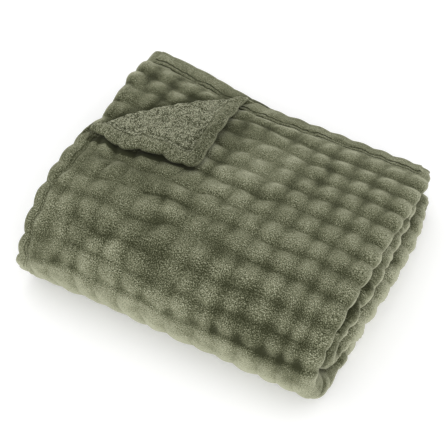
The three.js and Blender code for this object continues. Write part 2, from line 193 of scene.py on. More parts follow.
def field(seed, scale, reach=1.0):
    """A smooth random field over the cloth, from -reach to reach, the same on every run."""
    size = FIELD_GRID
    grid = np.random.default_rng(seed).uniform(-1, 1, (size, size))

    def value(across, along):
        u = across / scale + FIELD_START
        v = along / scale + FIELD_START
        i = np.floor(u).astype(int)
        j = np.floor(v).astype(int)
        a = smooth(0, 1, u - i)
        b = smooth(0, 1, v - j)
        i0, i1, j0, j1 = i % size, (i + 1) % size, j % size, (j + 1) % size
        low = mix(grid[i0, j0], grid[i1, j0], a)
        high = mix(grid[i0, j1], grid[i1, j1], a)
        return reach * mix(low, high, b)

    return value


ACROSS_AT = np.concatenate([[0], np.cumsum([row["length"] for row in ACROSS])])
ALONG_AT = np.concatenate([[0], np.cumsum([row["length"] for row in ALONG])])
CUT = {"across": ACROSS_AT[-1], "along": ALONG_AT[-1]}
TOP_LEVEL = PLIES * LAYERS - 1
front_of = curve(CREST, "along", "front")
height_of = curve(CREST, "front", "high")
along_of = curve(CREST, "front", "along")
left_reach = curve(REACH, "along", "left")
right_reach = curve(REACH, "along", "right")


def stretch(rows, sums, at):
    """The stretch of a table that each length falls in, and how far along it that is."""
    i = np.clip(np.searchsorted(sums, at) - 1, 0, len(rows) - 1)
    lengths = np.array([row["length"] for row in rows])
    return i, (at - sums[i]) / lengths[i]


stretch_across = partial(stretch, ACROSS, ACROSS_AT)
stretch_along = partial(stretch, ALONG, ALONG_AT)


def straight(row, w):
    """The place at share w of a stretch that has no fold."""
    return mix(row["from"], row["to"], w)


def section(across):
    """Where a place across the cloth lies, from the left edge, and in which ply."""
    i, w = stretch_across(across)
    x = np.empty_like(w)
    ply = np.empty_like(w)
    for k, row in enumerate(ACROSS):
        here = i == k
        if row["turns"]:
            turn = w[here] * math.pi
            middle = (row["ply"] + row["into"]) / 2
            x[here] = row["centre"] + row["reach"] * np.sin(turn)
            ply[here] = middle + (row["ply"] - middle) * np.cos(turn)
        else:
            x[here] = straight(row, w[here])
            ply[here] = row["ply"]
    return x, ply


def stack_height(x, front):
    at_left = fall(0, DROOP["width"], x)
    sunk = DROOP["share"] * at_left * smooth(DROOP["back"], DROOP["front"], front)
    return (height_of(front) - BUBBLE) * (1 - sunk) - SHEET


def level_height(level, x, front):
    """The height of a level of the stack, from 0 on the floor to 15 on top."""
    return SHEET / 2 + stack_height(x, front) * level / TOP_LEVEL


def fold(row, x, from_level, to_level, w):
    """A fold of the strip: a curve that leaves one level and comes back on another."""
    start = row["start"]

    def end(level):
        high = level_height(level, x, start)
        rise = (level_height(level, x, start + 1) - level_height(level, x, start - 1)) / 2
        size = np.hypot(1, rise)
        return high, 1 / size, rise / size

    high_a, out_a, up_a = end(from_level)
    high_b, out_b, up_b = end(to_level)
    round_here = ROUNDNESS * (1 + SWELL_AT_LEFT * fall(0, DROOP["width"], x))
    handle = row["way"] * round_here * np.abs(high_a - high_b)
    k0, k1, k2, k3 = (1 - w) ** 3, 3 * w * (1 - w) ** 2, 3 * w * w * (1 - w), w**3
    front = start + k1 * handle * out_a + k2 * handle * out_b
    high = (k0 + k1) * high_a + (k2 + k3) * high_b + k1 * handle * up_a + k2 * handle * up_b
    return front, high


def hem_slip(ply, x):
    at_left = fall(*SLIP_ZONE, x)
    slip = [mix(row["right"], row["left"], at_left) for row in HEM_SLIP]
    i = np.clip(np.floor(ply).astype(int), 0, PLIES - 2)
    plain = mix(np.choose(i, slip[:-1]), np.choose(i, slip[1:]), ply - i)
    square = mix(slip[1], slip[3], np.clip((ply - 1) / 2, 0, 1) ** 3)
    rounded = CORNER_PULL * fall(-TURN_LEFT, 2 * TURN_LEFT, x)
    return np.where(x < TURN_LEFT, square, plain) - rounded * (ply > 0)


def folded(across, along):
    """The middle of the cloth's thickness, the corner not turned."""
    x, ply = section(across)
    k, w = stretch_across(across)
    lip = LIP * TURN_RIGHT * np.sin(2 * math.pi * w) / 2 * (k == 1)
    x = x + lip * fall(ALONG_AT[FRONT_FOLD], ALONG_AT[BOTTOM], along)
    side = x - left_reach(along) * fall(0, REACH_ZONE["left"], x)
    side = side + right_reach(along) * smooth(WIDTH - REACH_ZONE["right"], WIDTH, x)
    i, w = stretch_along(along)
    front = np.empty_like(side)
    high = np.empty_like(side)
    for k, row in enumerate(ALONG):
        here = i == k
        if not here.any():
            continue
        q, s = ply[here], side[here]
        if "start" in row:
            out_of, into = ALONG[k - 1], ALONG[k + 1]
            from_level = out_of["level"] + out_of["step"] * q
            to_level = into["level"] + into["step"] * q
            front[here], high[here] = fold(row, s, from_level, to_level, w[here])
            continue
        if k == 0:
            slip = hem_slip(q, x[here]) * np.clip(1 - w[here], 0, None) ** 2
            front[here] = front_of(along[here]) - slip
        else:
            front[here] = straight(row, w[here])
        high[here] = level_height(row["level"] + row["step"] * q, s, front[here])
    return np.stack([LEFT_EDGE + side, CENTRE_FRONT - front, high], -1)


def off_face(place, across, along, step=0.25):
    """The direction off the face side of a surface, from two short steps on it."""
    right = place(across + step, along) - place(across - step, along)
    down = place(across, along + step) - place(across, along - step)
    normal = np.cross(down, right)
    return normal / np.maximum(np.linalg.norm(normal, axis=-1, keepdims=True), 1e-9)


CREASE_OFF = np.array([1 / CREASE["onEndHem"], 1 / CREASE["onSideHem"]])
CORNER_DEPTH = 1 / np.linalg.norm(CREASE_OFF)
CREASE_OFF = CREASE_OFF * CORNER_DEPTH
ROLL_LENGTH = math.pi * ROLL
TIP_RUN = np.array([TIP["across"], TIP["along"]]) - CREASE_OFF * CORNER_DEPTH
TIP_RUN = TIP_RUN / (CORNER_DEPTH - ROLL_LENGTH)


def past_crease(across, along):
    return CORNER_DEPTH - across * CREASE_OFF[0] - along * CREASE_OFF[1]


def beside_corner(across, along):
    """The shade on the cloth beside the turned corner's side hem, and its thin dark line."""
    run = np.array([TIP["across"], TIP["along"] - CREASE["onSideHem"]], float)
    run = run / np.linalg.norm(run)
    s, t = across, along - CREASE["onSideHem"]
    hem_place = CREASE["onSideHem"] * np.clip(1 - across / TIP["across"], 0, 1)
    off = t * run[0] - s * run[1] - side_edge(hem_place)
    on = smooth(6, 24, across) * fall(TIP["across"] - 12, TIP["across"], across)
    soft = fall(-3, 8, off) * smooth(-25, -15, off)
    line = fall(-1.5, 0.5, off) * smooth(-12, -8, off)
    return on * (0.7 * soft + 5.0 * line)


def on_top_sheet(across, along):
    return (across < ACROSS_AT[RIGHT_FOLD]) & (along < ALONG_AT[FRONT_FOLD])


def cloth(across, along):
    """The whole sheet's middle, with its corner rolled over the crease and laid down."""
    points = folded(across, along)
    past = past_crease(across, along)
    here = on_top_sheet(across, along) & (past > 0)
    if not here.any():
        return points
    s, t, past = across[here], along[here], past[here]
    turn = np.clip(past / ROLL, 0, math.pi)
    run = np.clip(past - ROLL_LENGTH, 0, None)
    rolled = past < ROLL_LENGTH
    back = np.where(rolled, ROLL * np.sin(turn), 0)
    s = s + CREASE_OFF[0] * (past - back) + TIP_RUN[0] * run
    t = t + CREASE_OFF[1] * (past - back) + TIP_RUN[1] * run
    sunk = TIP_SINKS * (run / (CORNER_DEPTH - ROLL_LENGTH)) ** 2
    lift = ROLL * (1 - np.cos(turn)) - sunk
    points[here] = folded(s, t) + off_face(folded, s, t) * lift[:, None]
    return points


# What is finer than the CAD solid, in millimetres
SIDE_HEM = 0.74
STITCH_LINES = table("in deep wide", (15.2, 0.9, 2.6), (19.8, 0.8, 2.4))
STITCH_PITCH = 9.5
HEM_BAND = (13.5, 17.5)
PLY_GAP = 1.6
PLUSH_MOST = 3.3
FOLD_CLEAR = 22.0
ROW_START = {"across": 0.35 * PITCH, "along": 0.1 * PITCH}
PIT_ROW = {"along": 314, "wide": 21}
CORNER_BOW = {"along": 92, "wide": 170, "out": 7}

# Where changes begin and end along the cloth, from the end hem on top over the front fold
FREE_EDGE = (120, 150)
FAR = (110, 230)
CALM = (170, 240)
STRONG = (200, 290)
ROW_SHIFT = (250, 315)
LINKED = (270, 300)
ROLL_FADE = (312, 330)
GAP_FADE = (316, 330)
UNDER_ROLL = (332, 350)
ROLL_END = (350, 370)
HEM_END = (330, 380)
FLOOR_FADE = (400, 430)

# The same by the distance from an edge, from the crease or in front of the top hem
BUBBLE_FADE = (19.0, 29.0)
RIM_FADE = (30, 60)
CORNER_FADE = (4, 14)
CREASE_FADE = (-9, 0)
HEM_SHADE = (-14, 0)

# Broad places where the pile is darker or paler, partly where the nap lies so and partly painted
# shade beside and under the turned corner: their middle, their size and how much
SHADES = table(
    "across along wide long tone",
    (305, 300, 170, 75, -0.9), (92, 194, 220, 60, -1.1), (192, 306, 110, 60, 0.7),
    (160, 70, 60, 150, -0.9), (250, 50, 420, 220, -0.3), (335, 322, 150, 56, -1.1),
    (150, 264, 90, 90, -1.0), (24, 262, 60, 44, 0.5), (225, 98, 120, 70, 0.6),
    (78, 308, 70, 50, 0.5),
)

# Random fields: a seed, the size of their patches and how far they reach
sway_across = field(11, 47, 7.5)
sway_along = field(12, 53, 6.0)
swell = field(13, 36)
big_swell = field(14, 95, 0.15)
crumple = field(15, 15)
rim_sway = field(16, 24)
rim_lift = field(17, 31, 1.6)
curl = field(18, 3.8, 0.75)
fine_curl = field(19, 2.0, 0.45)
lump = field(20, 17)
jitter_across = field(21, 21, 4.5)
jitter_along = field(22, 23, 4.0)
knob = field(23, 8)
spots = field(24, 31, 1.1)
tuck = field(27, 44)
pleat = field(25, 8.5)
fine_pleat = field(26, 4.5)


def over(start, end, x):
    """A smooth change between two shares of the pack's width."""
    return smooth(start * WIDTH, end * WIDTH, x)


def pick(index, values, other=0.0):
    """At each place the value that is given for its stretch."""
    return np.select([index == k for k in values], list(values.values()), other)


def wave(at, way):
    """1 on the middle lines of a row of bubbles and 0 halfway between them."""
    return np.abs(np.cos(math.pi * (at - ROW_START[way]) / PITCH))


def row_along(along):
    """The lower layers carry their rows of bubbles under the top layer's."""
    i, w = stretch_along(along)
    out = along.copy()
    for k in (BOTTOM, THIRD, SECOND):
        here = i == k
        out[here] = along_of(straight(ALONG[k], w[here]))
    return out


def bubble_shape(across, along):
    """The bubbles' height, the painted shade in the gaps between them, and where they run together.
    """
    x, _ = section(across)
    i, w = stretch_across(across)
    in_front = along < ALONG_AT[BOTTOM]
    loose = 1 - 0.6 * over(0.45, 0.85, x)
    shift = loose * (sway_across(across, along) + jitter_across(across, along))
    wave_a = wave(across + shift, "across")
    shift = loose * (sway_along(across, along) + jitter_along(across, along))
    row = row_along(along) + 8 * smooth(*ROW_SHIFT, along) * in_front
    wave_b = wave(row + shift, "along")
    near = along + 0.6 * shift

    # On the roll and at the back fold the bubbles of a column run together
    on_roll = smooth(*ROLL_FADE, near) * in_front * fall(*ROLL_END, near)
    inside = 1 - (i == RIGHT_FOLD) * smooth(0.3, 0.6, w)
    at_back = (along > ALONG_AT[BACK_FOLD] - 6) & (along < ALONG_AT[THIRD] + 6)
    column = np.maximum(on_roll * inside, at_back)
    ridge = 0.1 + 0.22 * over(0.8, 1, x) * (1 + 1.4 * (along > ALONG_AT[BOTTOM]))
    rows = mix(ridge, 1, wave_a)
    calm = smooth(*CALM, along) * (1 - over(0.3, 0.5, x)) * in_front
    far = fall(*FAR, along) * in_front
    strong = smooth(*STRONG, along) * over(0.5, 0.8, x) * (along < FLOOR_FADE[0])
    size = 1 + 0.5 * loose * swell(across, along) + big_swell(across, along)
    size = size * (1 - 0.05 * calm) + 0.2 * strong
    round_top = 0.85 + 0.35 * far * over(0.3, 0.5, x)
    dome = (rows * mix(wave_b, 1, column)) ** round_top * size

    # Painted shade in the gaps: between rows, stronger where four bubbles meet, drawn in here and
    # there
    uneven = np.clip(0.6 + spots(across, along), 0.1, 1.5)
    uneven = mix(1, uneven, over(0.9, 0.5, x)) + 0.4 * strong
    linked = 0.25 * (1 - smooth(*LINKED, near) * in_front)
    gap_shade = (1 - wave_b**2) * (linked + (1 - linked) * (1 - wave_a**2) * (1 - ridge))
    drawn = 0.6 * smooth(0.15, 0.5, tuck(across, along)) * loose
    gap_shade = gap_shade * (1 - 0.15 * calm) + (0.1 + drawn) * np.clip(1 - wave_b / 0.28, 0, 1)
    gap_shade = gap_shade + 0.55 * far * (1 - wave_a**2) ** 1.5 * (1 - ridge)
    faded = smooth(*GAP_FADE, near) * in_front * inside
    gap_shade = gap_shade * uneven * (1 - faded * (1 - 0.5 * smooth(*ROLL_END, near)))

    # Painted shade: a row of dark pits above the roll, and thin dark lines between the columns
    # under it
    pit_shade = hump(PIT_ROW["along"], PIT_ROW["wide"], near) * np.clip(1 - 1.5 * wave_a**2, 0, 1)
    gap_shade = gap_shade + pit_shade * (0.4 + 0.6 * over(0.1, 0.6, x)) * (0.75 + 0.9 * swell(along, across))
    under_shade = smooth(*UNDER_ROLL, near) * fall(ROLL_END[1], FLOOR_FADE[0], near) * in_front
    gap_shade = gap_shade + 0.9 * under_shade * np.clip(1 - wave_a / 0.2, 0, 1)
    return dome + 0.2 * loose * crumple(across, along), gap_shade, on_roll


def shown(across, along):
    """How much of a bubble stands up at a place: none where cloth lies on cloth or on the floor."""
    i, w = stretch_across(across)
    x, _ = section(across)
    arch = np.sin(w * math.pi)
    above_floor = (1 - 0.3 * smooth(*ROLL_FADE, along)) * fall(*FLOOR_FADE, along)
    start, end = ALONG_AT[BACK_FOLD], ALONG_AT[THIRD]
    at_back = smooth(start - 4, start + 10, along) * fall(end - 10, end + 4, along)
    above_floor = above_floor + 0.5 * at_back
    turned_over = smooth(*CREASE_FADE, past_crease(across, along)) * on_top_sheet(across, along)
    layer, _ = stretch_along(along)
    lumps = pick(layer, {SECOND: 1.0, THIRD: 1.1, BOTTOM: 1.3})
    lower = lumps * np.abs(arch) ** 0.6 * away_from_folds(along) ** 0.5
    top_fold = above_floor * np.where(w < 0.5, 1, arch**2)
    under_corner = smooth(*CORNER_FADE, past_crease(x, along))
    behind_hem = smooth(-20, -6, -front_shift(across, along))
    on_top = along < ALONG_AT[FRONT_FOLD]
    return pick(i, {
        TOP_PLY: above_floor * (1 - turned_over),
        RIGHT_FOLD: np.maximum(top_fold, lower),
        LEFT_FOLD: np.maximum(lower, 1.6 * on_top * smooth(0.15, 0.6, w) * under_corner),
        SECOND_PLY: on_top * np.maximum(under_corner, behind_hem),
    })


def front_shift(across, along):
    """How far in front of the top ply's hem a place of the top layer lies."""
    x, ply = section(across)
    slip = hem_slip(ply, x) * np.clip(1 - along / ALONG_AT[FRONT_FOLD], 0, 1) ** 2
    return front_of(np.clip(along, *CREST_RANGE)) - slip - TOP_HEM_BACK


def pleats(across, along):
    """The short creases of the gathered cloth on the right folds: where they are and how deep."""
    i, w = stretch_across(across)
    k, _ = stretch_along(along)
    s, t = 0.7 * across, along + 0.3 * across
    lines = np.clip(1 - np.abs(pleat(s, t)) / 0.22, 0, 1)
    lines = np.maximum(lines, 0.7 * np.clip(1 - np.abs(fine_pleat(s, t)) / 0.25, 0, 1))
    place = np.where(k == TOP, smooth(0.3, 0.6, w), k >= BOTTOM)
    return (i == RIGHT_FOLD) * place * np.abs(np.sin(w * math.pi)) ** 0.4 * lines


def away_from_folds(along):
    """1 along a lower layer and 0 at its ends and on the folds between layers."""
    i, _ = stretch_along(along)
    start = smooth(ALONG_AT[i], ALONG_AT[i] + PITCH, along)
    end = smooth(ALONG_AT[i + 1] - PITCH, ALONG_AT[i + 1], along)
    return np.isin(i, [BOTTOM, THIRD, SECOND]) * start * (1 - end)


def edge_distance(across, along):
    """The distance from the nearest edge of the cut cloth, larger where the hem is narrower."""
    narrow = SIDE_HEM + 0.14 * rim_sway(along, across) - 0.16 * smooth(190, 250, along)
    end_narrow = 1 - 0.22 * over(0.45, 0.8, across) * over(1.3, 1, across)
    sides = [across / narrow, CUT["across"] - across, along / end_narrow, CUT["along"] - along]
    return np.maximum(np.minimum.reduce(sides), 0)


def half_plush(across, along):
    """Half of the cloth's thickness with its pile, which nearly fills the stack."""
    x, _ = section(across)
    i, w = stretch_along(along)
    front = front_shift(across, along) + TOP_HEM_BACK
    for k, row in enumerate(ALONG[1:], 1):
        front = np.where(i == k, row["start"] if "start" in row else straight(row, w), front)
    space = stack_height(x, front) / TOP_LEVEL
    return np.clip(space / 2 - PLY_GAP / 2, SHEET / 2, PLUSH_MOST)


def open_fold(along):
    """1 away from the tight folds of the strip, at the back and inside the front."""
    out = np.ones_like(along)
    for k in (BACK_FOLD, INNER_FOLD):
        before = smooth(ALONG_AT[k] - FOLD_CLEAR, ALONG_AT[k], along)
        after = fall(ALONG_AT[k + 1], ALONG_AT[k + 1] + FOLD_CLEAR, along)
        out = out * (1 - before * after)
    return out


def scallop(at, way):
    """A row of round bulges with narrow notches between them, one for each bubble."""
    return wave(at, way) ** 0.6 - 0.6


def side_edge(along):
    """How far the side hem's edge stands out from its straight cut, more on the turned corner."""
    free = fall(*FREE_EDGE, along)
    bulges = (2.6 + 0.8 * free + 1.3 * hump(285, 200, along)) * scallop(along, "along")
    bow = CORNER_BOW["out"] * hump(CORNER_BOW["along"], CORNER_BOW["wide"], along)
    return bulges + (1.6 + 1.6 * free) * rim_sway(0 * along, along) + free * bow


def warped(across, along):
    """The two lengths with the sheet's first corner rounded and its edges drawn in and out."""
    a = np.clip(TIP_ROUND - across, 0, None)
    b = np.clip(TIP_ROUND - along, 0, None)
    near = (a > 0) & (b > 0)
    shrink = np.where(near, np.maximum(a, b) / np.maximum(np.hypot(a, b), 1e-6), 1)
    s = np.where(near, TIP_ROUND - a * shrink, across)
    t = np.where(near, TIP_ROUND - b * shrink, along)
    free = fall(*FREE_EDGE, np.maximum(across, along))
    end = (2.0 + 0.8 * free) * scallop(across, "across")
    end = end + 1.3 * rim_sway(across, along * 0 + 900) + 5.5 * (1 - free)
    i, _ = stretch_across(across)
    away = smooth(0, 30, np.hypot(across, along))
    out_side = side_edge(along) * fall(0, 26, across) * (i == TOP_PLY)
    return s - out_side * away, t - end * fall(0, 26, along) * away


def sculpt(across, along):
    """The sheet's shape at each place: its middle's lift, both half thicknesses, and masks."""
    i, w = stretch_across(across)
    k, _ = stretch_along(along)
    x, _ = section(across)
    at_right = i == RIGHT_FOLD
    arch = np.abs(np.sin(w * math.pi))
    plush = half_plush(across, along)
    loose = open_fold(along)
    thin = SHEET / 2
    edge = edge_distance(across, along)
    past = past_crease(across, along) * on_top_sheet(across, along)
    corner = on_top_sheet(across, along) & (past > -3)
    turned = smooth(0, ROLL_LENGTH, past)
    outer = (i == TOP_PLY) & (along < ALONG_AT[BOTTOM])
    on_top = along < ALONG_AT[FRONT_FOLD]
    uncovered, over_left = (i == SECOND_PLY) & on_top, (i == LEFT_FOLD) & on_top
    past_under = past_crease(x, along)
    behind_hem = smooth(*HEM_SHADE, -front_shift(across, along))
    open_air = np.maximum(smooth(0, 10, past_under), behind_hem)

    # Cloth between cloth is as thick as the stack leaves room for, and cloth in the open is thin
    face = np.where(outer, thin, mix(thin, plush, loose))
    from_top = at_right & (along < ALONG_AT[BOTTOM])
    face = np.where(from_top, mix(thin, plush, smooth(0.35, 1, w)), face)
    on_floor = (i == TOP_PLY) & (along > FLOOR_FADE[0]) & (along < ALONG_AT[BACK_FOLD])
    face = np.where(on_floor, thin, face)
    bare = open_air * (uncovered + over_left * smooth(0.2, 1, w))
    face = mix(face, thin, bare)
    turns = [LEFT_FOLD, SECOND_PLY, INNER_RIGHT, THIRD_PLY]
    near_turn = np.minimum.reduce([np.abs(across - ACROSS_AT[n]) for n in turns])
    back = mix(thin, plush, loose * smooth(0, 14, near_turn))
    back = np.where(np.isin(i, [LEFT_FOLD, INNER_RIGHT]) | corner, thin, back)

    # Hems: a doubled band with a soft rim and two rows of stitches along its inner edge
    band = fall(*HEM_BAND, edge)
    lines = sum(row["deep"] * hump(row["in"], row["wide"], edge) for row in STITCH_LINES)
    pucker = sum(0.35 * np.cos(2 * math.pi * at / STITCH_PITCH) for at in (across, along))
    bare = (uncovered | outer) * fall(*HEM_END, along)
    side_hem = (i == TOP_PLY) & (across < along)
    puffs = 1.3 * wave(along, "along") * side_hem
    face = face + bare * (band * (0.9 + (0.3 * pucker + puffs) * hump(8, 16, edge)) - lines)
    tube = 1.9 * hump(8, 18, edge) * (1 + 0.5 * knob(across, along)) - 0.9 * hump(19.5, 8, edge)
    back = back + corner * turned * (0.9 * band + tube)

    # Bubbles, and the short creases and bulges where the folds on the right are gathered
    shape, gap_shade, on_roll = bubble_shape(across, along)
    seen = shown(across, along) * smooth(*BUBBLE_FADE, edge)
    relief = shape * seen
    crease = pleats(across, along)
    gathered = pick(k, {FRONT_FOLD: 0.3, BOTTOM: 1.0, SECOND: 0.9, THIRD: 0.6})
    bulges = 1.6 * lump(along, across) + 0.8 * knob(along, across)
    ends = at_right * gathered * arch * bulges
    face = face + BUBBLE * relief - 1.3 * crease + ends

    # The underside of the turned corner is shaggy, and its hem bands are smooth
    shag = smooth(0.05, 0.4, past / ROLL_LENGTH) * (1 - 0.6 * band) * corner
    tufts = curl(across, along) + fine_curl(across, along)
    uneven = 0.6 * lump(across, along) + 0.8 * knob(across, along)
    back = back + shag * (0.8 + 1.2 * tufts + uneven)

    # The middle waves gently towards the edges that lie free; the turned corner lies face down
    waves = [(across, along - ROW_START["along"], 0.8), (along, across - ROW_START["across"], 0.6)]
    lift = 0.8
    for off, at, high in waves:
        lift = lift + high * fall(0, 34, off) * np.cos(2 * math.pi * at / PITCH)
    lift = lift * (i == TOP_PLY) * (along < FLOOR_FADE[0])
    lift = lift * fall(*RIM_FADE, edge) * fall(300, HEM_END[1], along)
    raised = (1.6 + rim_lift(across, along)) * fall(4, 45, edge)
    lift = np.where(corner, lift * (1 - turned) - raised * smooth(20, 50, past), lift)

    # Painted shade: the pile is darkened in gaps, holes and creases and beside the turned corner,
    # where shade falls
    beside_shade = 1.5 * uncovered * open_air * smooth(30, 0, past_under)
    beside_shade = beside_shade + outer * beside_corner(across, along)
    folds = np.where(k == THIRD, 0.9, 1.8)
    hole_shade = {SECOND: 2.4 * smooth(0.5, 0.85, w), THIRD: 1.4 * smooth(0.45, 0.15, w)}
    hole_shade = pick(k, hole_shade) * at_right * np.clip(0.25 + 1.5 * lump(along, across), 0, 1.2)
    valley_shade = gap_shade * seen * (1 + 0.9 * uncovered) + beside_shade + folds * crease + hole_shade

    # Painted light on the roll and on the lower folds on the right, painted shade beside the
    # crease, and broad patches that are partly the nap's own tone and partly painted shade
    on_roll = on_roll * (1 - 0.35 * over(0.75, 0.95, x))
    on_roll = on_roll * (1 - 0.6 * at_right * smooth(0.05, 0.4, w))
    strip_light = np.where(k == THIRD, 1.9, 1.3) * arch**0.5 * away_from_folds(along) ** 0.7
    strip_light = strip_light * at_right * pick(k, {BOTTOM: 1.0, THIRD: 1.0, SECOND: 0.35})
    roll_light = 0.35 * smooth(*ROLL_FADE, along) * outer
    painted_light_and_nap = np.maximum.reduce([0.65 * on_roll, strip_light, roll_light])
    painted_light_and_nap = painted_light_and_nap - (0.45 * uncovered + 0.7 * over_left) * open_air
    for row in SHADES:
        patch = hump(row["across"], row["wide"], across) * hump(row["along"], row["long"], along)
        painted_light_and_nap = painted_light_and_nap + row["tone"] * patch * outer

    band = band * (bare + corner * turned > 0)
    turned_hem = np.where(side_hem, -0.5, -4.0)
    hem = band * np.where(corner & (past > 0), turned_hem, np.where(side_hem, 3.0, 1.5))
    sewn_loosely = smooth(-0.5, 0.3, rim_sway(along, across))
    return lift, face, back, {
        "relief": relief, "valley_shade": valley_shade, "shag": shag, "hem": hem, "edge": edge, "painted_light_and_nap": painted_light_and_nap,
        "sewn": bare * np.where(side_hem, 0.4, 1.0),
        "turned_sewn": 0.8 * corner * turned * sewn_loosely,
    }


def corners(cell):
    s0, s1, t0, t1 = cell
    return (s0, t0), (s1, t0), (s1, t1), (s0, t1)


class Pattern:
    """A flat triangulation in the cloth's two lengths, fine where asked and coarse elsewhere.

    The cloth is cut into blocks of about one bubble. Each block has UNIT steps both ways and
    is divided into fewer cells where it can be. A cell next to finer ones becomes a fan.
    """

    UNIT = 16

    def __init__(self):
        self.s_lines, self.s_rows = self.lines(ACROSS)
        self.t_lines, self.t_rows = self.lines(ALONG)

    def lines(self, rows):
        at, owner = [0.0], []
        for k, row in enumerate(rows):
            blocks = max(1, round(row["length"] / PITCH))
            steps = blocks * self.UNIT
            start = at[-1]
            at.extend(start + row["length"] * (n + 1) / steps for n in range(steps))
            owner.extend([k] * blocks)
        return np.array(at), owner

    def cells(self, division):
        """The cells as (s0, s1, t0, t1) in line numbers; division gives a block's two counts."""
        out, unit = [], self.UNIT
        for s, row_s in zip(range(0, len(self.s_lines), unit), self.s_rows):
            for t, row_t in zip(range(0, len(self.t_lines), unit), self.t_rows):
                ns, nt = division(row_s, row_t, self.s_lines[s], *self.t_lines[[t, t + unit]])
                ds, dt = unit // ns, unit // nt
                for a in range(s, s + unit, ds):
                    out.extend((a, a + ds, b, b + dt) for b in range(t, t + unit, dt))
        return out

    def lay(self, cells, rim=()):
        """Points and faces of the cells; rim is the edge points that they have to include."""
        on_s, on_t = defaultdict(set), defaultdict(set)
        for s, t in [*(corner for cell in cells for corner in corners(cell)), *rim]:
            on_s[s].add(t)
            on_t[t].add(s)
        for lines in (on_s, on_t):
            lines.update((key, np.array(sorted(value))) for key, value in lines.items())

        def steps(values, low, high):
            a, b = np.searchsorted(values, [low, high])
            return values[a:b].tolist()

        index, points, faces = {}, [], []

        def point(key):
            if key not in index:
                index[key] = len(points)
                points.append(key)
            return index[key]

        for s0, s1, t0, t1 in cells:
            ring = [(s, t0) for s in steps(on_t[t0], s0, s1)]
            ring += [(s1, t) for t in steps(on_s[s1], t0, t1)]
            ring += [(s, t1) for s in steps(on_t[t1], s0 + 1, s1 + 1)[::-1]]
            ring += [(s0, t) for t in steps(on_s[s0], t0 + 1, t1 + 1)[::-1]]
            ring = [point(key) for key in ring]
            if len(ring) == 4:
                faces.append(ring)
                continue
            middle = point(((s0 + s1) / 2, (t0 + t1) / 2))
            faces.extend([middle, a, b] for a, b in zip(ring, ring[1:] + ring[:1]))
        return points, faces

    def lengths(self, points):
        """The two lengths along the cloth of points given in line numbers."""
        both = zip(np.array(points, float).T, (self.s_lines, self.t_lines))
        return [np.interp(at, np.arange(len(lines)), lines) for at, lines in both]


FINEST = (16, 16)
FINE = (8, 8)
# How far the cloth shows, in lengths across or along it, and past the crease
SEEN = {
    "top": 375, "second_hem": 30, "left": 190, "second": 185, "second_side": 190,
    "side_hem": 10, "crease": -6,
}


def face_division(i, k, s0, t0, t1):
    """How finely each block of the face side is divided: most finely where it shows."""
    if (i == TOP_PLY and t0 < SEEN["top"]) or i == RIGHT_FOLD:
        return FINEST
    if (i == SECOND_PLY and t1 < SEEN["second_hem"]) or (i == LEFT_FOLD and t1 < SEEN["left"]):
        return FINEST
    at_left = section(np.array([s0]))[0][0] < SEEN["second_side"]
    if i == SECOND_PLY and t0 < SEEN["second"] and at_left:
        return FINE
    if i == LEFT_FOLD or (i == TOP_PLY and (s0 < SEEN["side_hem"] or k == BACK_FOLD)):
        return FINE
    if t0 < 1 or t1 > CUT["along"] - 1 or k == BACK_FOLD:
        return 4, 8
    return (2, 2) if k in (FRONT_FOLD, INNER_FOLD) else (1, 1)


def back_division(i, k, s0, t0, t1):
    """How finely each block of the back is divided."""
    if i == TOP_PLY and k == TOP and past_crease(s0, t0) > SEEN["crease"]:
        return FINEST
    if i in (RIGHT_FOLD, LEFT_FOLD, INNER_RIGHT):
        return 4, 2
    if k in (FRONT_FOLD, BACK_FOLD, INNER_FOLD):
        return 1, 4
    return (2, 2) if t0 < 1 or t1 > CUT["along"] - 1 or s0 < 1 else (1, 1)


RIM_STEPS = 3
MASKS = ("relief", "valley_shade", "shag", "hem", "edge", "painted_light_and_nap", "sewn")


def placed(across, along):
    return cloth(*warped(across, along))


def off_edge(across, along):
    """The way off the cut cloth in its two lengths, at places on its edges."""
    s = (across > CUT["across"] - 1e-6) * 1.0 - (across < 1e-6)
    t = (along > CUT["along"] - 1e-6) * 1.0 - (along < 1e-6)
    return np.stack([s, t], -1)


def outward(across, along):
    """The direction along the cloth and out of it, at places on its edges."""
    step = 0.5 * off_edge(across, along)
    way = placed(across, along) - placed(across - step[:, 0], along - step[:, 1])
    return way / np.linalg.norm(way, axis=-1, keepdims=True)


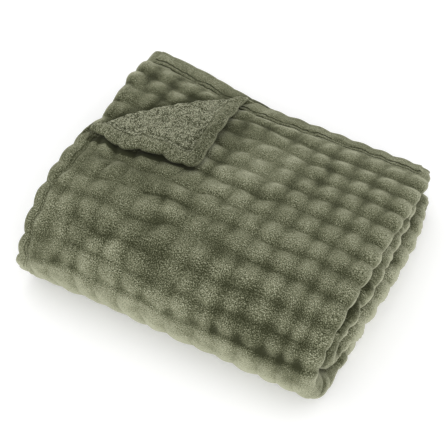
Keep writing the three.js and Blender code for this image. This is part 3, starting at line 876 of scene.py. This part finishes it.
def blanket_mesh(name):
    """The sheet as one closed mesh: its face, its back and a rounded rim between them."""
    pattern = Pattern()
    last_s, last_t = len(pattern.s_lines) - 1, len(pattern.t_lines) - 1
    cells = [pattern.cells(face_division), pattern.cells(back_division)]
    points = {point for cell in cells[0] + cells[1] for point in corners(cell)}
    between = [(s, t) for s, t in points if 0 < t < last_t]
    loop = [
        *sorted((s, t) for s, t in points if t == 0),
        *sorted((s, t) for s, t in between if s == last_s),
        *sorted(((s, t) for s, t in points if t == last_t), reverse=True),
        *sorted(((s, t) for s, t in between if s == 0), reverse=True),
    ]
    sides = [pattern.lay(side, loop) for side in cells]

    verts, faces, uv, masks, lies, index = [], [], [], [], [], []
    for n, (points, side_faces) in enumerate(sides):
        s, t = pattern.lengths(points)
        lift, face, back, mask = sculpt(s, t)
        normal = off_face(placed, s, t)
        reach = lift + face if n == 0 else lift - back
        first = sum(map(len, verts))
        index.append({key: first + k for k, key in enumerate(points)})
        verts.append(placed(s, t) + normal * reach[:, None])
        lies.append(normal if n == 0 else -normal)
        uv.append(np.stack([s, t], -1))
        for title in ("shag",) if n == 0 else ("relief", "valley_shade", "painted_light_and_nap"):
            mask[title] = np.zeros_like(s)
        if n == 1:
            mask["sewn"] = mask["turned_sewn"]
        masks.append(np.stack([mask[title] for title in MASKS], -1))
        for ring in side_faces:
            ring = [first + k for k in ring]
            faces.append(ring[::-1] if n == 0 else ring)

    s, t = pattern.lengths(loop)
    rows = [[side[key] for key in loop] for side in index]
    top, base = verts[0][rows[0]], verts[1][np.array(rows[1]) - len(verts[0])]
    middle, half = (top + base) / 2, (top - base) / 2
    size = np.linalg.norm(half, axis=-1, keepdims=True)
    out = outward(s, t)
    turned_over = on_top_sheet(s, t) * smooth(0, 20, past_crease(s, t))
    for n in range(1, RIM_STEPS + 1):
        angle = math.pi * (0.5 - n / (RIM_STEPS + 1))
        first = sum(map(len, verts))
        rows.insert(n, [first + k for k in range(len(loop))])
        around = half / size * math.sin(angle) + out * math.cos(angle)
        verts.append(middle + around * size)
        lies.append(around)
        over = np.minimum(n, RIM_STEPS + 1 - n) * math.pi / (RIM_STEPS + 1) * size
        uv.append(np.stack([s, t], -1) + off_edge(s, t) * over)
        # Painted shade on the rim of the turned corner, darkest on the steps nearest its underside
        under_shade = 4.0 * turned_over * (1 - (n - 1) / (RIM_STEPS - 1)) ** 1.5
        values = {"hem": np.ones(len(loop)), "valley_shade": under_shade}
        masks.append(np.stack([values.get(title, 0 * under_shade) for title in MASKS], -1))
    for upper, lower in zip(rows, rows[1:]):
        for k in range(len(loop)):
            m = (k + 1) % len(loop)
            faces.append([upper[k], upper[m], lower[m], lower[k]])

    verts = np.concatenate(verts)
    verts[:, 2] = np.maximum(verts[:, 2], 0)
    mesh = bpy.data.meshes.new(name)
    mesh.from_pydata((verts * MM).tolist(), [], faces)
    uv = np.concatenate(uv) * MM
    masks = np.concatenate(masks)
    corner = np.empty(len(mesh.loops), np.int32)
    mesh.loops.foreach_get("vertex_index", corner)
    layer = mesh.uv_layers.new(name="cloth")
    layer.data.foreach_set("uv", uv[corner].ravel())
    for k, title in enumerate(MASKS):
        data = mesh.attributes.new(title, "FLOAT", "POINT").data
        data.foreach_set("value", masks[:, k].astype(np.float32))
    lie = mesh.attributes.new("lie", "FLOAT_VECTOR", "POINT").data
    lie.foreach_set("vector", np.concatenate(lies).astype(np.float32).ravel())
    mesh.polygons.foreach_set("use_smooth", np.ones(len(mesh.polygons), bool))
    mesh.update()
    return mesh


def linear(red, green, blue):
    """A colour given in the usual 0 to 255 steps, as the shader takes it."""
    steps = [c / 255 for c in (red, green, blue)]
    return [c / 12.92 if c <= 0.04045 else ((c + 0.055) / 1.055) ** 2.4 for c in steps] + [1]


def fill(node, **values):
    """Sets a node's inputs, named with _ for a space."""
    for title, value in values.items():
        node.inputs[title.replace("_", " ")].default_value = value


def new_material(name):
    material = bpy.data.materials.new(name)
    material.use_nodes = True
    return material, material.node_tree.nodes["Principled BSDF"]


def add_object(context, name, data):
    made = bpy.data.objects.new(name, data)
    context.scene.collection.objects.link(made)
    return made


class Tree:
    """Short ways to add and join a material's nodes."""

    def __init__(self, tree):
        self.tree = tree

    def node(self, kind, settings=None, **inputs):
        node = self.tree.nodes.new(kind)
        for key, value in (settings or {}).items():
            setattr(node, key, value)
        for key, value in inputs.items():
            self.set(node.inputs[key], value)
        return node

    def set(self, socket, value):
        if isinstance(value, bpy.types.NodeSocket):
            self.tree.links.new(value, socket)
        else:
            socket.default_value = value

    def math(self, operation, *values):
        node = self.node("ShaderNodeMath", {"operation": operation})
        for k, value in enumerate(values):
            self.set(node.inputs[k], value)
        return node.outputs[0]

    def noise(self, vector, scale, detail=2.0, roughness=0.5):
        inputs = {"Vector": vector, "Scale": scale, "Detail": detail, "Roughness": roughness}
        return self.node("ShaderNodeTexNoise", None, **inputs).outputs["Fac"]


# Noises in the pile: how many bumps to a millimetre, how many finer steps and how rough
NOISES = {
    "grain": (0.8, 3.0, 0.7), "fleck": (0.25, 2.0, 0.6), "patch": (0.05,),
    "region": (0.011, 1.0), "curls": (0.5, 2.5, 0.65),
}
# What each thing adds to the pile's tone or takes from it; 0 is in the valleys, 1 on the tops. Some
# of it is painted light: sheen from how far the pile turns away, shade in the valleys and beside
# the turned corner, and pale light on the roll and the folds
TONE = {
    "all": 0.395, "turned": 0.45, "grazing_sheen": 0.9, "relief": 0.2, "fleck": 0.4, "patch": 0.5,
    "region": 0.3, "valley_shade": 0.2, "hem": 0.04, "painted_light_and_nap": 0.22, "stitches": 0.85,
}
SIDE_TONE = 0.48
# How strongly the grain shows in the tone: most where the pile is looked straight into
GRAIN = {"most": 4.7, "falls": 5.5, "least": 1.9}


def flannel(settings):
    """Brushed flannel with a painted sheen: its colour is dark where it is looked straight into and
    pale where it turns away.
    """
    material, shader = new_material("flannel")
    tree = Tree(material.node_tree)
    operations = ("ADD", "SUBTRACT", "MULTIPLY", "MAXIMUM")
    add, less, times, most = (partial(tree.math, operation) for operation in operations)
    uv = tree.node("ShaderNodeUVMap", {"uv_map": "cloth"}).outputs["UV"]
    place = tree.node("ShaderNodeMapping", None, Vector=uv, Scale=[1 / MM] * 3).outputs["Vector"]

    def attribute(title, output="Fac"):
        return tree.node("ShaderNodeAttribute", {"attribute_name": title}).outputs[output]

    def about(value, weight, middle=0.5):
        return times(less(value, middle), weight)

    relief, valley_shade, shag, hem, edge, painted_light_and_nap = [attribute(title) for title in MASKS[:6]]
    grain, fleck, patch, region, curls = [tree.noise(place, *row) for row in NOISES.values()]
    cells = tree.node("ShaderNodeTexVoronoi", {"feature": "F1"}, Scale=0.4, Vector=place)
    tuft = less(1.0, cells.outputs["Distance"])
    loops = add(times(curls, 0.5), times(tuft, 0.5))

    # Two rows of stitches along the hem's inner edge, drawn as thin dark grooves
    wander = add(edge, about(tree.noise(place, 0.05), 11.0))
    stitches = 0.0
    for row in STITCH_LINES:
        away = tree.math("ABSOLUTE", less(wander, row["in"]))
        stitches = most(stitches, less(1.0, tree.math("DIVIDE", away, row["wide"] / 2)))
    worn = add(about(patch, 2.4), 0.9)
    stitches = times(times(stitches, attribute("sewn")), worn)

    height = add(about(grain, 0.55), about(fleck, 0.5))
    height = add(height, times(times(loops, shag), 3.2))
    height = less(height, times(stitches, 0.9))
    bump = tree.node("ShaderNodeBump", None, Strength=1.0, Distance=MM, Height=height)
    bumpy = bump.outputs["Normal"]
    tree.set(shader.inputs["Normal"], bumpy)

    # How far the pile turns away: of each tuft, and of the cloth that it lies on. The tone follows
    # it as painted sheen, dark facing the camera and pale at grazing angles
    facing = tree.node("ShaderNodeLayerWeight", None, Blend=0.5, Normal=bumpy).outputs["Facing"]
    lie = attribute("lie", "Vector")
    whole = tree.node("ShaderNodeLayerWeight", None, Blend=0.5, Normal=lie).outputs["Facing"]
    turned = add(times(facing, 0.7), times(whole, 0.3))
    tone = about(turned, TONE["turned"], 0.2)
    grazing_sheen = most(less(turned, 0.5), 0.0)
    tone = add(tone, times(grazing_sheen, TONE["grazing_sheen"]))
    rough = most(less(GRAIN["most"], times(turned, GRAIN["falls"])), GRAIN["least"])
    flat = less(1.0, times(valley_shade, 0.12))
    rough = times(rough, most(flat, 0.5))
    tone = add(tone, times(less(grain, 0.5), rough))
    # Bubble tops paler than their sides, partly painted light on the tops and partly the pile's
    # brushing; fleck, patch and region are the pile's own uneven tone
    layers = {"relief": relief, "fleck": fleck, "patch": patch, "region": region}
    for title, value in layers.items():
        tone = add(tone, about(value, TONE[title]))
    # Painted shade in the gaps, holes and creases, on the turned corner's rim and beside it
    tone = less(tone, times(valley_shade, TONE["valley_shade"]))
    tone = add(tone, times(hem, TONE["hem"]))
    # Painted light on the roll and the lower folds, painted shade beside the crease, and the nap's
    # broad patches
    tone = add(tone, times(painted_light_and_nap, TONE["painted_light_and_nap"]))
    woolly = add(about(loops, 1.9, 0.48), about(grain, 3.5))
    woolly = add(woolly, about(tree.noise(place, 0.16), 1.0))
    tone = add(tone, times(shag, woolly))
    tone = less(tone, times(stitches, TONE["stitches"]))
    tone = add(tone, TONE["all"])

    ramp = tree.node("ShaderNodeValToRGB")
    tree.set(ramp.inputs["Fac"], tone)
    stops = ramp.color_ramp.elements
    stops[0].position, stops[0].color = 0.0, [*settings.dark, 1]
    stops[1].position, stops[1].color = 1.0, [*settings.light, 1]
    stops.new(SIDE_TONE).color = [*settings.colour, 1]
    tree.set(shader.inputs["Base Color"], ramp.outputs["Color"])
    fill(shader, Roughness=1.0, Specular_IOR_Level=0.0, Sheen_Weight=settings.sheen)
    fill(shader, Sheen_Roughness=0.5, Sheen_Tint=linear(230, 230, 208))
    return material


class ThrowSettings(bpy.types.PropertyGroup):
    """What a user would change on the cloth."""

    # These colours are the stops of the tone ramp, so the valleys' colour also carries painted
    # shade and the tops' colour painted light and sheen
    colour: bpy.props.FloatVectorProperty(
        name="Colour", description="Colour of the pile on a bubble's side", subtype="COLOR",
        size=3, min=0, max=1, default=linear(108, 110, 86)[:3],
    )
    dark: bpy.props.FloatVectorProperty(
        name="Valleys", description="Colour of the pile between bubbles", subtype="COLOR",
        size=3, min=0, max=1, default=linear(50, 52, 35)[:3],
    )
    light: bpy.props.FloatVectorProperty(
        name="Tops", description="Colour of the pile on top of a bubble", subtype="COLOR",
        size=3, min=0, max=1, default=linear(173, 174, 150)[:3],
    )
    sheen: bpy.props.FloatProperty(
        name="Sheen", description="How much the pile shines at its edges", subtype="FACTOR",
        default=0.15, min=0, max=1,
    )


class StageSettings(bpy.types.PropertyGroup):
    """What a user would change in the studio."""

    floor: bpy.props.FloatVectorProperty(
        name="Floor", description="Colour of the floor and the backdrop", subtype="COLOR",
        size=3, min=0, max=1, default=(0.95, 0.95, 0.95),
    )
    glow: bpy.props.FloatProperty(
        name="Floor glow", description="How much the floor's shadows are filled",
        default=0.12, min=0,
    )
    key: bpy.props.FloatProperty(
        name="Key light", description="Power of the large soft light", unit="POWER",
        default=8, min=0,
    )
    sky: bpy.props.FloatProperty(
        name="Sky", description="Strength of the even light from all around",
        default=1.0, min=0,
    )


class THROW_OT_blanket(bpy.types.Operator):
    """Build the folded throw"""

    bl_idname = "throw.blanket"
    bl_label = "Folded throw"

    def execute(self, context):
        mesh = blanket_mesh("throw_cloth")
        mesh.materials.append(flannel(context.scene.throw_cloth))
        piece = add_object(context, "throw_cloth", mesh)
        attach(piece, "root")
        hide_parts("blanket")
        cut = (CUT["across"] * MM, CUT["along"] * MM)
        return {"FINISHED"}


WHITE = (1, 1, 1, 1)
# The photo's camera: its place in the row frame, where it looks from in degrees, and its lens
CAMERA = {"place": (0.2866, -0.600, 0.9795), "azimuth": 26.7, "elevation": 55.5, "lens": 78.9}
SENSOR = 36
FLOOR_SIZE = 12
# Area lights: where they stand, how large they are and their share of the key light's power
LIGHTS = table(
    "name at size share", ("key", (0.7, -1.5, 0.9), 1.3, 1), ("top", (-0.5, 0.5, 1.8), 1.2, 0.25),
)


class THROW_OT_stage(bpy.types.Operator):
    """Set up the floor, the lights and the camera"""

    bl_idname = "throw.stage"
    bl_label = "Studio"

    def execute(self, context):
        settings = context.scene.throw_stage
        bpy.ops.mesh.primitive_plane_add(size=FLOOR_SIZE, location=(0, 0, 0))
        floor = context.object
        floor.name = "floor"
        material, shader = new_material("floor")
        fill(shader, Base_Color=[*settings.floor, 1], Roughness=0.9)
        fill(shader, Emission_Color=WHITE, Emission_Strength=settings.glow)
        floor.data.materials.append(material)

        world = bpy.data.worlds.new("studio")
        world.use_nodes = True
        fill(world.node_tree.nodes["Background"], Color=WHITE, Strength=settings.sky)
        context.scene.world = world
        context.scene.view_settings.view_transform = "Standard"

        for row in LIGHTS:
            data = bpy.data.lights.new(row["name"], "AREA")
            data.size = row["size"]
            data.energy = settings.key * row["share"]
            light = add_object(context, row["name"], data)
            light.location = row["at"]
            light.rotation_euler = light.location.to_track_quat("Z", "Y").to_euler()

        data = bpy.data.cameras.new("camera")
        data.sensor_width = SENSOR
        data.lens = CAMERA["lens"]
        camera = add_object(context, "camera", data)
        turn = [math.radians(90 - CAMERA["elevation"]), 0, math.radians(CAMERA["azimuth"])]
        turn = Euler(turn).to_matrix().to_4x4()
        camera.matrix_world = Matrix.Translation(CAMERA["place"]) @ turn
        context.scene.camera = camera
        return {"FINISHED"}


class THROW_PT_panel(bpy.types.Panel):
    """The throw's settings and operators"""

    bl_idname = "THROW_PT_panel"
    bl_label = "Folded throw"
    bl_space_type = "VIEW_3D"
    bl_region_type = "UI"
    bl_category = "Throw"

    def draw(self, context):
        for settings, operator in (
            (context.scene.throw_cloth, THROW_OT_blanket),
            (context.scene.throw_stage, THROW_OT_stage),
        ):
            box = self.layout.box()
            for key in settings.bl_rna.properties.keys():
                if key not in ("rna_type", "name"):
                    box.prop(settings, key)
            box.operator(operator.bl_idname)


CLASSES = (ThrowSettings, StageSettings, THROW_OT_blanket, THROW_OT_stage, THROW_PT_panel)


def register():
    for each in CLASSES:
        bpy.utils.register_class(each)
    bpy.types.Scene.throw_cloth = bpy.props.PointerProperty(type=ThrowSettings)
    bpy.types.Scene.throw_stage = bpy.props.PointerProperty(type=StageSettings)


def unregister():
    del bpy.types.Scene.throw_stage
    del bpy.types.Scene.throw_cloth
    for each in reversed(CLASSES):
        bpy.utils.unregister_class(each)


def main():
    register()
    bpy.ops.throw.stage()
    bpy.ops.throw.blanket()


if __name__ == "__main__":
    main()
